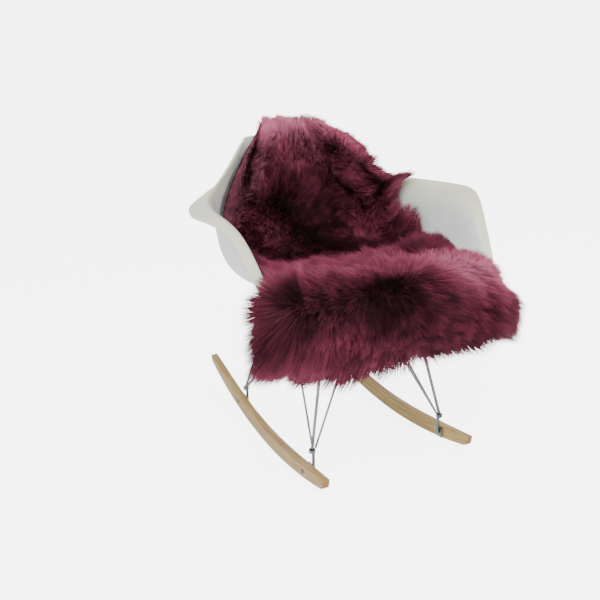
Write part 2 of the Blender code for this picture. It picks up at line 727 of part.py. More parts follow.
def clear_centre(centre, outward, up, gap, hide_tree, shell_tree):
    """Move a cross-section out until it is off the hide, and up until it is off the shell."""
    moved = centre.copy()
    for _ in range(STRIP_TRIES):
        corners = strip_corners(moved, outward, up, gap)
        by_hide = [hide_tree.find_nearest(corner) for corner in corners]
        off_hide = min((c - hit[0]).dot(hit[1]) for c, hit in zip(corners, by_hide, strict=True))
        off_shell = min(shell_tree.find_nearest(corner)[3] for corner in corners)
        if off_hide > gap * STRIP_SHARE and off_shell > gap:
            break
        if off_hide <= gap * STRIP_SHARE:
            moved += outward * STRIP_STEP
        if off_shell <= gap:
            moved += up * STRIP_STEP
    return moved


def build_locks(name, first, last, lift, droop, gap, frames, trees, dice):
    """A strip along part of the rim, with pointed locks raised from its outer faces."""
    hide_tree, shell_tree = trees
    stations = []
    count = len(frames)
    for edge in range(first, last):
        a, b = frames[edge % count], frames[(edge + 1) % count]
        for part in range(LOCKS_PER_EDGE):
            t = part / LOCKS_PER_EDGE
            stations.append([a[k].lerp(b[k], t) for k in range(3)])
    stations.append(list(frames[last % count]))
    for end, inner in ((0, 1), (-1, -2)):
        way = (stations[inner][0] - stations[end][0]).normalized()
        stations[end][0] = stations[end][0] + way * STRIP_END_GAP
    for station in stations:
        station[0] = clear_centre(*station, gap, hide_tree, shell_tree)
    bm = bmesh.new()
    rings = [
        [bm.verts.new(corner) for corner in strip_corners(*station, gap)] for station in stations
    ]
    outer_faces = []
    for near, far in zip(rings, rings[1:], strict=False):
        for side in range(4):
            other = (side + 1) % 4
            face = bm.faces.new((near[side], far[side], far[other], near[other]))
            if side == 1:
                outer_faces.append(face)
    bm.faces.new(rings[0])
    bm.faces.new(reversed(rings[-1]))
    poked = bmesh.ops.poke(bm, faces=outer_faces[1:-1])
    for k, vert in enumerate(poked["verts"], start=1):
        centre, outward, up = (stations[k][n].lerp(stations[k + 1][n], 0.5) for n in range(3))
        length = LOCK_LENGTH * (1.0 - LOCK_UNEVEN * dice.random())
        root = centre + outward * STRIP_DEPTH
        vert.co = lock_tip(root, outward, up, lift, droop, length, shell_tree)
    return mesh_from(bm, name, PLUM_LOCKS, smooth=False, wound=True)


SHELL = build_shell()
SHELL_MESH = evaluated_copy(SHELL)
SHELL_TREE = surface_tree(SHELL_MESH)
build_rocker("rocker_right", -1)
build_rocker("rocker_left", 1)
build_base(SHELL_TREE)
HIDE, UNDER, TOP, UPS, RIM = build_hide(SHELL_TREE)
FRAMES = rim_frames(UNDER, TOP, UPS, RIM)
TREES = (surface_tree(HIDE.data), SHELL_TREE)
DICE = random.Random(7)
for lock_run in LOCK_RUNS:
    build_locks(*lock_run, FRAMES, TREES, DICE)
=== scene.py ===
"""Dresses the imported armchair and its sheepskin: long wool, moulded shell, maple rockers, wire.

Metres, +Z up. -Y is the chair's front and +X the sitter's left. The hide is described by a share
of its length, 0 at the front hem and 1 at the head, and by metres across, positive to the left.
"""
import math

import bmesh
import bpy
import numpy as np
from mathutils import Matrix, Vector, noise
from mathutils.bvhtree import BVHTree


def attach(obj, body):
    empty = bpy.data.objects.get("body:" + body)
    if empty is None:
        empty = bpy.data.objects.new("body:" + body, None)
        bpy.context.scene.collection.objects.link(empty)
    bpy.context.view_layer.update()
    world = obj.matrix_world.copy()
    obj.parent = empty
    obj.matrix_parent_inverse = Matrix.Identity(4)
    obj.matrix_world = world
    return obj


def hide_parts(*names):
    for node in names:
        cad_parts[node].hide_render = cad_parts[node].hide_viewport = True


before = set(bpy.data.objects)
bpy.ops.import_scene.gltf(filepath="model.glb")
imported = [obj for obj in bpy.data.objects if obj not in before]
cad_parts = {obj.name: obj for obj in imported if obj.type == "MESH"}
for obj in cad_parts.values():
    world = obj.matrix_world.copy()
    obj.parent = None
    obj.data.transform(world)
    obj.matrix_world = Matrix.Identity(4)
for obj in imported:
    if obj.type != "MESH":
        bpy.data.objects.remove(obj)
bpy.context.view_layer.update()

# Camera: the photograph's own station, found from the rockers, joints and arms.
CAMERA_PLACE = (-0.6489, -1.2507, 0.8218)
CAMERA_YAW = -0.4348
CAMERA_PITCH = -0.3504
CAMERA_ROLL = -0.0191
CAMERA_LENS = 39.2
SENSOR = 36.0
CAMERA_SHIFT = (-0.0018, 0.0040)

# Hide: the same lie as its solid, so that the skin and the wool stand where the solid does.
SEATED_GAP = 0.0009
EDGE_GAP = 0.0025
HEAD_GAP = 0.005
HEAD_SHARE = 0.82
CORNER_EASING = 0.13
SIDE_RISE = 0.06
HEM_ROUNDING = 0.16
HEAD_ROUNDING = 0.72
LAY_UP = 0.034
LAY_DOWN = 0.018
LAY_EASING = 5
FREE_EASING = 3
FREE_DROP = 0.07
SKIN_ALONG = 90
SKIN_ACROSS = 60
SKIN_THICK = 0.0018
HIDE_PATH = (
    # y, z
    (-0.318, 0.312),
    (-0.323, 0.352),
    (-0.321, 0.390),
    (-0.305, 0.413),
    (-0.272, 0.421),
    (-0.190, 0.410),
    (-0.100, 0.391),
    (0.010, 0.374),
    (0.100, 0.377),
    (0.176, 0.406),
    (0.224, 0.466),
    (0.248, 0.545),
    (0.259, 0.612),
    (0.259, 0.652),
    (0.270, 0.681),
    (0.290, 0.684),
    (0.305, 0.668),
)
HIDE_SECTIONS = (
    # share, half_right, half_left, flat, radius, bend_right, bend_left, pile
    (0.00, 0.272, 0.296, 0.135, 0.120, -38.0, -66.0, 0.036),
    (0.09, 0.258, 0.256, 0.160, 0.090, -34.0, -60.0, 0.046),
    (0.15, 0.250, 0.224, 0.185, 0.080, -8.0, -20.0, 0.050),
    (0.20, 0.240, 0.210, 0.180, 0.075, 14.0, 14.0, 0.052),
    (0.25, 0.242, 0.214, 0.170, 0.070, 30.0, 30.0, 0.052),
    (0.33, 0.254, 0.244, 0.163, 0.070, 56.0, 56.0, 0.052),
    (0.45, 0.256, 0.274, 0.152, 0.075, 68.0, 70.0, 0.050),
    (0.56, 0.240, 0.290, 0.138, 0.080, 68.0, 70.0, 0.048),
    (0.66, 0.216, 0.346, 0.100, 0.120, 60.0, 64.0, 0.048),
    (0.75, 0.202, 0.340, 0.070, 0.170, 60.0, 66.0, 0.048),
    (0.86, 0.150, 0.252, 0.050, 0.150, 60.0, 66.0, 0.044),
    (0.94, 0.090, 0.168, 0.045, 0.130, 54.0, 60.0, 0.030),
    (1.00, 0.048, 0.110, 0.050, 0.160, 30.0, 34.0, 0.020),
)
HIDE_LUMPS = (
    # share, across, reach_along, reach_across, height
    (0.44, 0.225, 0.060, 0.050, 0.026),
    (0.50, 0.150, 0.045, 0.050, 0.014),
    (0.12, 0.220, 0.080, 0.090, 0.006),
    (0.12, -0.225, 0.070, 0.080, 0.012),
    (0.10, 0.020, 0.060, 0.120, 0.007),
    (0.80, -0.060, 0.090, 0.080, 0.008),
    (0.78, 0.130, 0.080, 0.060, 0.008),
)

# Wool: bands of the hide from hem to head, one piece each, and how a strand stands and leans.
WOOL_BANDS = (
    # name, low share, high share, strands
    ("wool_hem", 0.00, 0.07, 23500),
    ("wool_roll", 0.07, 0.14, 27000),
    ("wool_crest", 0.14, 0.33, 25500),
    ("wool_seat", 0.33, 0.55, 17000),
    ("wool_waist", 0.55, 0.77, 25000),
    ("wool_head", 0.77, 1.00, 26500),
)
STRAND_STEPS = (0.10, 0.50, 0.80, 1.0)
STRAND_WIDTH = 0.0012
STRAND_TAPER = (1.0, 0.95, 0.65)
STRAND_CLEARANCE = 0.003
RIM_REACH = 0.045
RIM_WOOL = 0.038
# Patches of paler or darker wool, which are painted light and shade: paler where it catches the light,
# darker painted shade where it stands on end and in its creases.
TONE_MIDDLE = 0.50
LOCK_SHADE = 0.14
STRAND_SHADE = 0.18
# How light a strand stays at its root; the darkening towards the root is painted shade.
ROOT_LIGHT = 0.35
PAINTED_LIGHT_PATCHES = (
    # share, across, reach_along, reach_across, amount
    (0.97, 0.000, 0.080, 0.220, 0.66),
    (0.85, -0.150, 0.110, 0.080, 0.90),
    (0.76, -0.200, 0.060, 0.040, 0.50),
    (0.70, 0.210, 0.080, 0.060, 0.22),
    (0.47, 0.170, 0.060, 0.080, -0.30),
    (0.14, 0.120, 0.050, 0.060, 0.25),
    (0.16, 0.205, 0.050, 0.050, 0.22),
    (0.84, 0.140, 0.080, 0.080, 0.28),
    (0.70, 0.060, 0.110, 0.150, -0.42),
    (0.55, 0.000, 0.070, 0.180, -0.34),
    (0.66, -0.190, 0.060, 0.050, -0.20),
    (0.175, -0.080, 0.018, 0.220, 0.24),
    (0.15, 0.130, 0.030, 0.090, 0.30),
    (0.225, 0.120, 0.018, 0.080, -0.45),
    (0.30, 0.130, 0.050, 0.018, -0.45),
    (0.31, 0.170, 0.035, 0.045, -0.30),
    (0.30, 0.080, 0.030, 0.030, -0.20),
    (0.125, -0.225, 0.050, 0.060, -0.36),
    (0.020, -0.250, 0.060, 0.060, 0.45),
    (0.150, -0.262, 0.060, 0.025, 0.35),
    (0.120, -0.060, 0.032, 0.120, -0.50),
    (0.06, 0.040, 0.050, 0.200, -0.30),
    (0.07, 0.260, 0.070, 0.050, 0.12),
)
# Places that the wool leans away from, beside its general lie.
WHORLS = (
    # share, across, reach, strength
    (0.125, -0.020, 0.150, 0.8),
    (0.125, -0.225, 0.070, 0.5),
    (0.310, 0.185, 0.055, 1.4),
    (0.310, 0.085, 0.042, 1.2),
)
# The middle that the wool on the back leans away from, and over which shares of the length the
# lie turns at the crest and at the back.
BACK_CENTRE = (0.67, 0.04)
BACK_SPREAD = 0.12
BACK_LEAN = (1.25, 0.5)
FRONT_TURN = (0.112, 0.182)
BACK_TURN = (0.34, 0.46)
# Lean before the crest, and what is added past it, towards the head and outwards.
HEM_LEAN = (-0.55, 0.55)
PAST_CREST = (1.25, -0.25)
WHORL_EYE = 0.09
STRAY_LEAN = 0.7
RIM_LEAN = (0.6, 2.4)
LEAN_MOST = 1.6
# Mottle of the wool's tone and unevenness of its length: amount, then waves along and across.
CREST_WANDER = (0.03, 12.0, 14.0)
STRAY_WAVES = (9.0, 10.0)
MOTTLE = (0.12, 22.0, 24.0)
TUFTS = (0.26, 34.0, 36.0)
# How strongly the wool gathers into locks, and where it is shorter than the rest.
GATHER_MIDDLE = 0.30
GATHER_PATCHES = (
    # share, across, reach_along, reach_across, amount
    (0.11, 0.120, 0.070, 0.110, 0.55),
    (0.05, -0.060, 0.040, 0.160, 0.22),
    (0.86, -0.040, 0.080, 0.120, 0.15),
)
TRIM_PATCHES = (
    # share, across, reach_along, reach_across, amount
    (1.00, -0.120, 0.100, 0.080, -0.75),
    (1.00, 0.000, 0.060, 0.200, -0.46),
    (0.92, 0.160, 0.080, 0.070, -0.62),
    (0.86, 0.240, 0.060, 0.060, -0.50),
    (0.84, -0.190, 0.130, 0.040, -0.50),
    (0.20, 0.230, 0.060, 0.055, -0.66),
    (0.12, 0.250, 0.040, 0.060, -0.42),
    (0.40, 0.240, 0.050, 0.060, -0.40),
    (0.31, 0.255, 0.060, 0.045, -0.60),
    (0.80, 0.300, 0.060, 0.050, -0.50),
    (0.93, -0.120, 0.060, 0.050, -0.70),
    (0.19, -0.255, 0.050, 0.040, -0.50),
    (0.04, -0.060, 0.050, 0.130, -0.42),
    (0.00, -0.250, 0.040, 0.080, -0.24),
    (0.00, 0.040, 0.050, 0.090, -0.30),
    (0.01, 0.225, 0.050, 0.080, 0.60),
    (0.225, 0.120, 0.018, 0.080, -0.50),
    (0.30, 0.135, 0.050, 0.016, -0.50),
    (0.310, 0.085, 0.030, 0.030, 0.35),
    (0.310, 0.185, 0.035, 0.035, 0.35),
)


def linear(red, green, blue):
    """A colour given in 0 to 255 screen values, as linear light."""
    values = [channel / 255.0 for channel in (red, green, blue)]
    return tuple(v / 12.92 if v <= 0.04045 else ((v + 0.055) / 1.055) ** 2.4 for v in values)


# Hide's form


def smooth_table(table, column, share):
    """Read one column of a table at a share of its first column, on a smooth curve."""
    keys = [row[0] for row in table]
    values = [row[column] for row in table]
    share = min(max(share, keys[0]), keys[-1])
    i = max(k for k in range(len(keys) - 1) if keys[k] <= share)
    span = keys[i + 1] - keys[i]
    t = (share - keys[i]) / span
    slopes = []
    for k in (i, i + 1):
        low, high = max(k - 1, 0), min(k + 1, len(keys) - 1)
        slopes.append((values[high] - values[low]) / (keys[high] - keys[low]) * span)
    return (
        (2 * t**3 - 3 * t**2 + 1) * values[i]
        + (t**3 - 2 * t**2 + t) * slopes[0]
        + (3 * t**2 - 2 * t**3) * values[i + 1]
        + (t**3 - t**2) * slopes[1]
    )


def path_samples(count=400):
    """The hide's centre line as evenly spread points, its directions and its eased directions."""
    keyed = [(i, y, z) for i, (y, z) in enumerate(HIDE_PATH)]
    last = len(HIDE_PATH) - 1
    dense = np.array(
        [
            [smooth_table(keyed, column, last * k / count) for column in (1, 2)]
            for k in range(count + 1)
        ]
    )
    steps = np.linalg.norm(np.diff(dense, axis=0), axis=1)
    lengths = np.concatenate([[0.0], np.cumsum(steps)])
    even = np.linspace(0.0, lengths[-1], count + 1)
    points = np.stack([np.interp(even, lengths, dense[:, k]) for k in (0, 1)], axis=1)
    slopes = np.gradient(points, axis=0)
    slopes /= np.linalg.norm(slopes, axis=1)[:, None]
    reach = round(count * CORNER_EASING)
    kernel = np.ones(2 * reach + 1) / (2 * reach + 1)
    eased = [np.convolve(np.pad(slopes[:, k], reach, mode="edge"), kernel, "valid") for k in (0, 1)]
    eased = np.stack(eased, axis=1)
    eased /= np.linalg.norm(eased, axis=1)[:, None]
    return points, slopes, eased, float(lengths[-1])


PATH_POINTS, PATH_SLOPES, EASED_SLOPES, HIDE_LENGTH = path_samples()


def hide_frame(share):
    """Centre point of the hide's centre line, its upward normal, and the normal its sides follow."""
    place = min(max(share, 0.0), 1.0) * (len(PATH_POINTS) - 1)
    low = min(int(place), len(PATH_POINTS) - 2)
    t = place - low
    y, z = PATH_POINTS[low] * (1 - t) + PATH_POINTS[low + 1] * t
    run_y, run_z = PATH_SLOPES[low] * (1 - t) + PATH_SLOPES[low + 1] * t
    side_y, side_z = EASED_SLOPES[low] * (1 - t) + EASED_SLOPES[low + 1] * t
    return Vector((0.0, y, z)), Vector((0.0, -run_z, run_y)), Vector((0.0, -side_z, side_y))


def hide_flat(row, column):
    """Share of length and metres across of a grid point, with the skin's corners rounded."""
    along = 2.0 * row / SKIN_ALONG - 1.0
    across = 2.0 * column / SKIN_ACROSS - 1.0
    rounding = HEM_ROUNDING if along < 0 else HEAD_ROUNDING
    share = (1.0 + along * math.sqrt(1.0 - rounding * across**2 / 2.0)) / 2.0
    spread = across * math.sqrt(1.0 - rounding * along**2 / 2.0)
    half = smooth_table(HIDE_SECTIONS, 1 if across < 0 else 2, share)
    edge_wave = 1.0 + 0.018 * math.sin(9.0 * share * math.pi + 1.3 * across) * across**2
    return share, spread * half * edge_wave


def hide_drape(share, across):
    """The skin's underside at a flat place, before it is laid on the shell."""
    centre, normal, side_normal = hide_frame(share)
    side = -1.0 if across < 0 else 1.0
    flat = smooth_table(HIDE_SECTIONS, 3, share)
    radius = smooth_table(HIDE_SECTIONS, 4, share)
    bend = math.radians(smooth_table(HIDE_SECTIONS, 5 if across < 0 else 6, share))
    away = abs(across)
    turned = min(max(away - flat, 0.0) / radius, abs(bend))
    rest = max(away - flat - radius * abs(bend), 0.0)
    out = min(away, flat) + radius * math.sin(turned) + rest * math.cos(turned)
    up = radius * (1.0 - math.cos(turned)) + rest * math.sin(turned)
    sign = 1.0 if bend >= 0 else -1.0
    normal = normal.lerp(side_normal, min(up / SIDE_RISE, 1.0)).normalized()
    point = centre + Vector((side * out, 0.0, 0.0)) + normal * (up * sign)
    tilt = normal * math.cos(turned) - Vector((side * math.sin(turned) * sign, 0.0, 0.0))
    return point, tilt.normalized()


def grid_smooth(values, rounds):
    """Average each grid value with its neighbours."""
    for _ in range(rounds):
        padded = np.pad(values, 1, mode="edge")
        near = padded[:-2, 1:-1] + padded[2:, 1:-1] + padded[1:-1, :-2] + padded[1:-1, 2:]
        values = 0.5 * values + 0.125 * near
    return values


def clearance(share, across):
    """How far the skin stays off the shell: close on the seat, more near the edges."""
    seat = math.exp(-(((share - 0.42) / 0.10) ** 2) - (across / 0.10) ** 2)
    head = max(share - HEAD_SHARE, 0.0) / (1.0 - HEAD_SHARE)
    return EDGE_GAP + (SEATED_GAP - EDGE_GAP) * seat + HEAD_GAP * min(2.0 * head, 1.0)


def lay_on_shell(points, normals, flats, tree):
    """Move each point along its normal to lie on the shell; also say where no shell is below."""
    rows, columns = len(points), len(points[0])
    lift = np.zeros((rows, columns))
    found = np.zeros((rows, columns))
    below = np.zeros((rows, columns))
    for i in range(rows):
        for j in range(columns):
            start = points[i][j] + normals[i][j] * LAY_UP
            hit = tree.ray_cast(start, -normals[i][j], LAY_UP + FREE_DROP)[0]
            if hit is None:
                continue
            over = (points[i][j] - hit).dot(normals[i][j])
            below[i, j] = 1.0
            if over < LAY_DOWN:
                lift[i, j] = clearance(*flats[i][j]) - over
                found[i, j] = 1.0
    weight = grid_smooth(found, LAY_EASING)
    eased = grid_smooth(lift * found, LAY_EASING) / np.maximum(weight, 0.02)
    move = np.where(found > 0.5, np.maximum(lift, eased), eased)
    ups = np.array([[tuple(n) for n in row] for row in normals])
    laid = np.array([[tuple(p) for p in row] for row in points]) + ups * move[:, :, None]
    return laid, 1.0 - grid_smooth(below, FREE_EASING)


def unit(vectors):
    """Vectors scaled to length one."""
    return vectors / np.maximum(np.linalg.norm(vectors, axis=-1), 1e-9)[..., None]


def pile_depth(share, across, edge_distance):
    """Depth of the wool over the skin: full inside, less at the rim, with swells."""
    full = smooth_table(HIDE_SECTIONS, 7, share) + patch_sum(HIDE_LUMPS, share, across)
    rise = min(edge_distance / RIM_REACH, 1.0)
    return RIM_WOOL + (full - RIM_WOOL) * math.sqrt(1.0 - (1.0 - rise) ** 2)


def patch_sum(patches, share, across):
    """The sum of a table of soft round patches at one place on the hide."""
    total = 0.0
    for spot, side, reach_along, reach_across, amount in patches:
        away = (share - spot) * HIDE_LENGTH / reach_along
        total += amount * math.exp(-(away**2) - ((across - side) / reach_across) ** 2)
    return total


def eased(value, low, high):
    """Go from 0 at low to 1 at high on a smooth curve."""
    t = min(max((value - low) / (high - low), 0.0), 1.0)
    return t * t * (3.0 - 2.0 * t)


def wave(pattern, share, across, seed):
    """Smooth noise over the hide, as an amount."""
    amount, along_waves, across_waves = pattern
    return amount * noise.noise(Vector((share * along_waves, across * across_waves, seed)))


def lean_direction(share, across, half, rim_share):
    """Which way the wool leans, as amounts towards the head and to the left."""
    amount, along_waves, across_waves = CREST_WANDER
    wander = amount * noise.noise(Vector((across * across_waves, share * along_waves, 9.0)))
    past_crest = eased(share + wander, *FRONT_TURN)
    on_back = eased(share, *BACK_TURN)
    toward_head = HEM_LEAN[0] + PAST_CREST[0] * past_crest
    outward = (HEM_LEAN[1] + PAST_CREST[1] * past_crest) * across / half
    away_along = (share - BACK_CENTRE[0]) * HIDE_LENGTH
    away_across = across - BACK_CENTRE[1]
    toward_head += on_back * (BACK_LEAN[0] * math.tanh(away_along / BACK_SPREAD) - toward_head)
    outward += on_back * (BACK_LEAN[1] * math.tanh(away_across / BACK_SPREAD) - outward)
    for spot, side, reach, strength in WHORLS:
        away_along, away_across = (share - spot) * HIDE_LENGTH, across - side
        distance = math.hypot(away_along, away_across) + 1e-6
        pull = strength * math.exp(-((distance / reach) ** 2)) * min(distance / WHORL_EYE, 1.0)
        toward_head += pull * away_along / distance
        outward += pull * away_across / distance
    place = Vector((share * STRAY_WAVES[0], across * STRAY_WAVES[1], 0.0))
    toward_head += STRAY_LEAN * noise.noise(place)
    outward += STRAY_LEAN * noise.noise(place + Vector((7.0, 3.0, 5.0)))
    near_rim = (1.0 - rim_share) ** 2
    end_pull = 2.0 * share - 1.0
    toward_head += near_rim * RIM_LEAN[0] * (abs(end_pull) ** 4) * math.copysign(1.0, end_pull)
    outward += near_rim * RIM_LEAN[1] * across / half
    return toward_head, outward


def hide_form(tree):
    """Grids of the laid skin, its normals, and the wool's depth, lean and tone on it, with painted light
    and shade in the tone.
    """
    flats = [[hide_flat(i, j) for j in range(SKIN_ACROSS + 1)] for i in range(SKIN_ALONG + 1)]
    draped = [[hide_drape(*flat) for flat in row] for row in flats]
    points = [[spot[0] for spot in row] for row in draped]
    normals = [[spot[1] for spot in row] for row in draped]
    under, free = lay_on_shell(points, normals, flats, tree)
    along = unit(np.gradient(under, axis=0))
    across = unit(np.gradient(under, axis=1))
    ups = np.cross(across, along)
    for k in range(3):
        ups[:, :, k] = grid_smooth(ups[:, :, k], 3)
    ups = unit(ups)
    rim = np.concatenate([under[0], under[-1], under[:, 0], under[:, -1]])
    shape = under.shape[:2]
    depth, tone, leans = np.zeros(shape), np.zeros(shape), np.zeros(under.shape)
    rim_share, gather = np.zeros(shape), np.zeros(shape)
    for i, j in np.ndindex(shape):
        share, side = flats[i][j]
        distance = float(np.min(np.linalg.norm(rim - under[i, j], axis=1)))
        rim_share[i, j] = min(distance / RIM_REACH, 1.0)
        depth[i, j] = pile_depth(share, side, distance)
        half = smooth_table(HIDE_SECTIONS, 1 if side < 0 else 2, share)
        head, left = lean_direction(share, side, half, rim_share[i, j])
        leans[i, j] = along[i, j] * head + across[i, j] * left
        mottle = wave(MOTTLE, share, side, 3.0)
        # The tone: random mottle plus patches of painted light and shade.
        tone[i, j] = TONE_MIDDLE + mottle + patch_sum(PAINTED_LIGHT_PATCHES, share, side)
        gather[i, j] = GATHER_MIDDLE + patch_sum(GATHER_PATCHES, share, side)
        tuft = wave(TUFTS, share, side, 6.0)
        depth[i, j] *= 1.0 + tuft + patch_sum(TRIM_PATCHES, share, side)
    leans -= ups * np.sum(leans * ups, axis=2)[:, :, None]
    strength = np.minimum(np.linalg.norm(leans, axis=2), LEAN_MOST)[:, :, None]
    shares = np.array([[flat[0] for flat in row] for row in flats])
    return {
        "under": under,
        "up": ups,
        "lean": unit(leans) * strength,
        "depth": depth,
        "tone": tone,
        "rim": rim_share,
        "gather": gather,
        "free": free,
        "share": shares,
    }


def node_tree(name):
    """A search tree over a CAD node's mesh."""
    bm = bmesh.new()
    bm.from_mesh(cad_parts[name].data)
    tree = BVHTree.FromBMesh(bm)
    bm.free()
    return tree


# Node trees


class Nodes:
    """Short ways to place and join nodes in one tree."""

    def __init__(self, tree):
        self.tree = tree

    def put(self, target, value):
        if isinstance(value, bpy.types.NodeSocket):
            self.tree.links.new(value, target)
        elif value is not None:
            target.default_value = value

    def node(self, kind, inputs=(), **settings):
        made = self.tree.nodes.new(kind)
        for key, value in settings.items():
            setattr(made, key, value)
        for key, value in dict(inputs).items():
            self.put(made.inputs[key], value)
        return made

    def maths(self, operation, *values):
        made = self.tree.nodes.new("ShaderNodeMath")
        made.operation = operation
        for socket, value in zip(made.inputs, values, strict=False):
            self.put(socket, value)
        return made.outputs[0]

    def line(self, value, factor, offset):
        return self.maths("MULTIPLY_ADD", value, factor, offset)


class Surface(Nodes):
    """A material with its Principled shader."""

    def __init__(self, name):
        self.made = bpy.data.materials.new(name)
        self.made.use_nodes = True
        super().__init__(self.made.node_tree)
        self.shader = self.tree.nodes["Principled BSDF"]

    def read(self, name, output="Fac"):
        return self.node("ShaderNodeAttribute", attribute_name=name).outputs[output]

    def place(self):
        return self.node("ShaderNodeTexCoord").outputs["Object"]

    def stretched(self, place, *scale):
        return self.node("ShaderNodeMapping", {"Vector": place, "Scale": scale}).outputs["Vector"]

    def noise(self, place, scale, detail, distortion=0.0):
        inputs = {"Vector": place, "Scale": scale, "Detail": detail, "Distortion": distortion}
        return self.node("ShaderNodeTexNoise", inputs).outputs["Fac"]

    def ramp(self, value, *stops):
        made = self.node("ShaderNodeValToRGB", {"Fac": value})
        elements = made.color_ramp.elements
        while len(elements) < len(stops):
            elements.new(0.5)
        for element, (place, colour) in zip(elements, stops, strict=True):
            element.position = place
            element.color = (*colour, 1.0)
        return made.outputs["Color"]

    def bump(self, height, strength, distance):
        inputs = {"Height": height, "Strength": strength, "Distance": distance}
        return self.node("ShaderNodeBump", inputs).outputs["Normal"]

    def finish(self, inputs):
        for key, value in inputs.items():
            self.put(self.shader.inputs[key], value)
        return self.made


# Materials


def wool_material():
    """Dyed wool with painted shade: dark at the root, paler to the tip, with patches of painted light
    and shade and stray pale hairs.
    """
    m = Surface("plum_wool")
    lock = m.line(m.read("lock"), 2.0 * LOCK_SHADE, -LOCK_SHADE)
    # Painted light and shade: the tone's patches lighten and darken the wool, with a random tone for
    # each lock.
    lit = m.line(m.maths("ADD", m.read("tone"), lock), 0.9, 0.1)
    # Painted shade: each strand darkens towards its root, where the wool's depth lies in shade.
    reach = m.line(m.read("along"), 1.0 - ROOT_LIGHT, ROOT_LIGHT)
    spread = m.maths("MULTIPLY", m.read("dice"), STRAND_SHADE)
    colour = m.ramp(
        m.maths("ADD", m.maths("MULTIPLY", reach, lit), spread),
        (0.00, linear(34, 14, 19)),
        (0.30, linear(60, 25, 34)),
        (0.55, linear(120, 52, 69)),
        (0.80, linear(170, 84, 107)),
        (1.00, linear(202, 116, 141)),
    )
    return m.finish(
        {
            "Base Color": colour,
            "Normal": m.read("facing", "Vector"),
            "Roughness": 0.62,
            "Specular IOR Level": 0.06,
            "Sheen Weight": 0.28,
            "Sheen Roughness": 0.35,
            "Sheen Tint": (*linear(206, 96, 128), 1.0),
        }
    )


def skin_material():
    """The tanned skin: dull plum suede with fine grain."""
    m = Surface("plum_skin")
    grain = m.noise(m.place(), 160.0, 6.0)
    colour = m.ramp(grain, (0.3, linear(46, 20, 28)), (0.7, linear(74, 36, 46)))
    return m.finish({"Base Color": colour, "Normal": m.bump(grain, 0.4, 0.0006), "Roughness": 0.9})


def surface_group():
    """Shared fine variation: a soft mottle for colour and a fine height for bump."""
    group = bpy.data.node_groups.new("fine_variation", "ShaderNodeTree")
    face = group.interface
    face.new_socket("Vector", in_out="INPUT", socket_type="NodeSocketVector")
    for name, value in (("Mottle scale", 12.0), ("Grain scale", 220.0)):
        socket = face.new_socket(name, in_out="INPUT", socket_type="NodeSocketFloat")
        socket.default_value = value
    for name in ("Mottle", "Grain"):
        face.new_socket(name, in_out="OUTPUT", socket_type="NodeSocketFloat")
    m = Nodes(group)
    asked, given = m.node("NodeGroupInput").outputs, m.node("NodeGroupOutput").inputs
    for name, detail in (("Mottle", 3.0), ("Grain", 4.0)):
        inputs = {"Vector": asked["Vector"], "Scale": asked[name + " scale"], "Detail": detail}
        m.put(given[name], m.node("ShaderNodeTexNoise", inputs).outputs["Fac"])
    return group


VARIATION = surface_group()


def varied_material(
    name, dark, pale, roughness, scales, bump_height=0.0002, metallic=0.0, coat=0.0, rim=None
):
    """A smooth material with the shared mottle in its colour and the shared grain in its bump.

    A rim colour tints it towards the piece's own rim.
    """
    m = Surface(name)
    vary = m.node("ShaderNodeGroup", node_tree=VARIATION)
    for key, value in zip(("Vector", "Mottle scale", "Grain scale"), (m.place(), *scales), strict=True):
        m.put(vary.inputs[key], value)
    mottle, grain = vary.outputs["Mottle"], vary.outputs["Grain"]
    colour = m.ramp(mottle, (0.35, dark), (0.65, pale))
    if rim is not None:
        share = m.maths("POWER", m.read("rim"), 3.0)
        inputs = {0: share, 6: colour, 7: (*rim, 1.0)}
        colour = m.node("ShaderNodeMix", inputs, data_type="RGBA", blend_type="MULTIPLY").outputs[2]
    inputs = {"Value": mottle, "To Min": roughness[0], "To Max": roughness[1]}
    return m.finish(
        {
            "Base Color": colour,
            "Roughness": m.node("ShaderNodeMapRange", inputs).outputs["Result"],
            "Normal": m.bump(grain, 0.25, bump_height),
            "Metallic": metallic,
            "Coat Weight": coat,
        }
    )


def maple_material(name, dark, pale, streak_scale, fleck_scale):
    """Maple: fine streaks along the plank and small flecks, read from the plank's own map."""
    m = Surface(name)
    lie = m.read("grain_lie", "Vector")
    streaks = m.noise(m.stretched(lie, 1.0, streak_scale, streak_scale), 5.0, 6.0, 0.4)
    flecks = m.noise(m.stretched(lie, 0.25, 1.0, 1.0), fleck_scale, 2.0)
    mixed = m.maths(
        "ADD", m.maths("MULTIPLY", streaks, 0.75), m.maths("MULTIPLY", flecks, 0.25)
    )
    middle = tuple((a + b) / 2 for a, b in zip(dark, pale, strict=True))
    return m.finish(
        {
            "Base Color": m.ramp(mixed, (0.34, dark), (0.50, middle), (0.62, pale)),
            "Normal": m.bump(mixed, 0.3, 0.0002),
            "Roughness": 0.42,
            "Coat Weight": 0.15,
            "Coat Roughness": 0.35,
        }
    )


WOOL = wool_material()
SKIN = skin_material()
SHELL_PLASTIC = varied_material(
    "shell_plastic",
    linear(208, 213, 209),
    linear(220, 225, 221),
    (0.30, 0.38),
    (9.0, 300.0),
    coat=0.15,
    rim=(0.99, 0.93, 0.74),
)
MAPLE = maple_material("maple", linear(128, 98, 44), linear(168, 138, 72), 30.0, 90.0)
MAPLE_END = maple_material("maple_end", linear(118, 66, 22), linear(156, 100, 44), 9.0, 160.0)
STEEL = varied_material(
    "steel_wire", linear(104, 107, 108), linear(138, 141, 142), (0.26, 0.38), (30.0, 700.0), 0.0001, 0.95
)
RUBBER = varied_material("rubber", linear(26, 26, 27), linear(38, 38, 39), (0.72, 0.82), (40.0, 500.0))


# Pieces


def link(name, data, *finishes):
    """A new object in the scene with its materials."""
    made = bpy.data.objects.new(name, data)
    bpy.context.scene.collection.objects.link(made)
    for finish in finishes:
        data.materials.append(finish)
    return made


